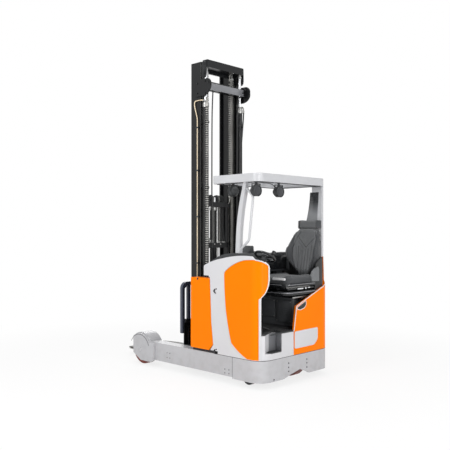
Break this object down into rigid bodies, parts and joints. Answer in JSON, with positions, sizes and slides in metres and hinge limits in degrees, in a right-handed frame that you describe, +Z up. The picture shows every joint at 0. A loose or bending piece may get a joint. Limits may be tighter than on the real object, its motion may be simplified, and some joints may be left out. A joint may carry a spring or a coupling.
{
  "type": "reach truck",
  "caption": "Ride-on reach truck with a triplex mast on a reach carriage, support arms, side-facing seat, overhead guard and pallet forks.",
  "frame": {"origin": "on the floor, at the middle of the overall length and width", "axes": "+X forward, the way the forks point; +Y to the truck's left; +Z up"},
  "size_m": [2.58, 1.26, 3.6],
  "materials": {
    "chassis_grey": "satin grey paint",
    "panel_silver": "satin light grey paint",
    "guard_grey": "satin pale grey paint",
    "orange_paint": "semi gloss orange paint",
    "black_paint": "satin black paint",
    "fork_black": "satin black paint, worn at the tips",
    "slate_paint": "satin slate blue grey paint",
    "chrome_rod": "hard chromed",
    "black_plastic": "grained dark plastic",
    "rubber_mat": "ribbed rubber",
    "seat_fabric": "woven charcoal fabric",
    "wheel_iron": "painted casting",
    "tread_red": "cast polyurethane tread",
    "caster_black": "black solid rubber"
  },
  "bodies": {
    "chassis": {"chassis_frame": "chassis_grey", "left_support_arm": "chassis_grey", "right_support_arm": "chassis_grey", "left_wheel_guard": "chassis_grey", "right_wheel_guard": "chassis_grey", "battery_tray": "black_paint", "battery": "black_paint", "left_battery_cover": "orange_paint", "right_battery_cover": "orange_paint", "left_body_shell": "panel_silver", "left_corner_cover": "orange_paint", "cab_liner": "black_plastic", "right_side_panel": "orange_paint", "rear_panel": "orange_paint", "rear_step_panel": "panel_silver", "cab_floor": "black_paint", "floor_mat": "rubber_mat", "bulkhead": "black_paint", "dash_hood": "black_plastic", "seat_base": "black_paint", "seat_suspension": "black_paint", "seat_cushion": "seat_fabric", "seat_backrest": "seat_fabric", "headrest": "seat_fabric", "armrest_console": "black_plastic", "steering_column": "black_plastic", "overhead_guard": "guard_grey", "left_pillar": "guard_grey", "right_pillar": "guard_grey", "grab_handle": "guard_grey", "work_lights": "black_plastic"},
    "drive_unit": {"drive_leg": "black_paint"},
    "drive_wheel": {"drive_hub": "wheel_iron", "drive_tyre": "tread_red"},
    "caster": {"caster_fork": "black_plastic"},
    "caster_wheel": {"caster_wheel": "caster_black"},
    "left_load_wheel": {"left_load_wheel": "tread_red"},
    "right_load_wheel": {"right_load_wheel": "tread_red"},
    "hand_wheel": {"steering_wheel": "black_plastic"},
    "mast_carriage": {"reach_carriage": "black_paint", "outer_mast": "black_paint", "lift_cylinders": "black_paint"},
    "middle_stage": {"middle_mast": "black_paint", "lift_rods": "chrome_rod"},
    "inner_stage": {"inner_mast": "black_paint", "free_lift_cylinder": "black_paint"},
    "free_lift": {"free_lift_rod": "chrome_rod"},
    "carriage": {"fork_carriage": "black_paint"},
    "tilt_frame": {"tilt_frame": "black_paint"},
    "fork_unit": {"shift_frame": "black_paint", "left_fork": "fork_black", "right_fork": "fork_black", "load_backrest": "slate_paint"}
  },
  "joints": [
    {"name": "reach", "type": "slide", "parent": "chassis", "child": "mast_carriage", "axis": [1, 0, 0], "range_m": [0, 0.55]},
    {"name": "mast_lift", "type": "slide", "parent": "mast_carriage", "child": "middle_stage", "axis": [0, 0, 1], "range_m": [0, 2.8]},
    {"name": "inner_lift", "type": "slide", "parent": "middle_stage", "child": "inner_stage", "axis": [0, 0, 1], "range_m": [0, 2.8]},
    {"name": "carriage_lift", "type": "slide", "parent": "inner_stage", "child": "carriage", "axis": [0, 0, 1], "range_m": [0, 2.7]},
    {"name": "free_rod_lift", "type": "slide", "parent": "inner_stage", "child": "free_lift", "axis": [0, 0, 1], "range_m": [0, 1.35]},
    {"name": "fork_tilt", "type": "hinge", "parent": "carriage", "child": "tilt_frame", "pos_m": [0.1225, 0, 0.12], "axis": [0, 1, 0], "range_deg": [-4, 2]},
    {"name": "side_shift", "type": "slide", "parent": "tilt_frame", "child": "fork_unit", "axis": [0, 1, 0], "range_m": [-0.05, 0.05]},
    {"name": "steer", "type": "hinge", "parent": "chassis", "child": "drive_unit", "pos_m": [-1.035, -0.19, 0.4], "axis": [0, 0, 1], "range_deg": [-90, 90]},
    {"name": "drive_roll", "type": "hinge", "parent": "drive_unit", "child": "drive_wheel", "pos_m": [-1.035, -0.19, 0.1715], "axis": [0, 1, 0], "continuous": true},
    {"name": "caster_swivel", "type": "hinge", "parent": "chassis", "child": "caster", "pos_m": [-1.04, 0.45, 0.2], "axis": [0, 0, 1], "continuous": true},
    {"name": "caster_roll", "type": "hinge", "parent": "caster", "child": "caster_wheel", "pos_m": [-1.005, 0.45, 0.08], "axis": [0, 1, 0], "continuous": true},
    {"name": "left_load_roll", "type": "hinge", "parent": "chassis", "child": "left_load_wheel", "pos_m": [0.635, 0.5275, 0.1775], "axis": [0, 1, 0], "continuous": true},
    {"name": "right_load_roll", "type": "hinge", "parent": "chassis", "child": "right_load_wheel", "pos_m": [0.635, -0.5275, 0.1775], "axis": [0, 1, 0], "continuous": true},
    {"name": "hand_wheel_turn", "type": "hinge", "parent": "chassis", "child": "hand_wheel", "pos_m": [-1.169, 0.4, 1.35], "axis": [0, -0.5, 0.866], "continuous": true}
  ],
  "couplings": [
    {"joint": "inner_lift", "follows": "mast_lift", "ratio": 1},
    {"joint": "free_rod_lift", "follows": "carriage_lift", "ratio": 0.5}
  ]
}
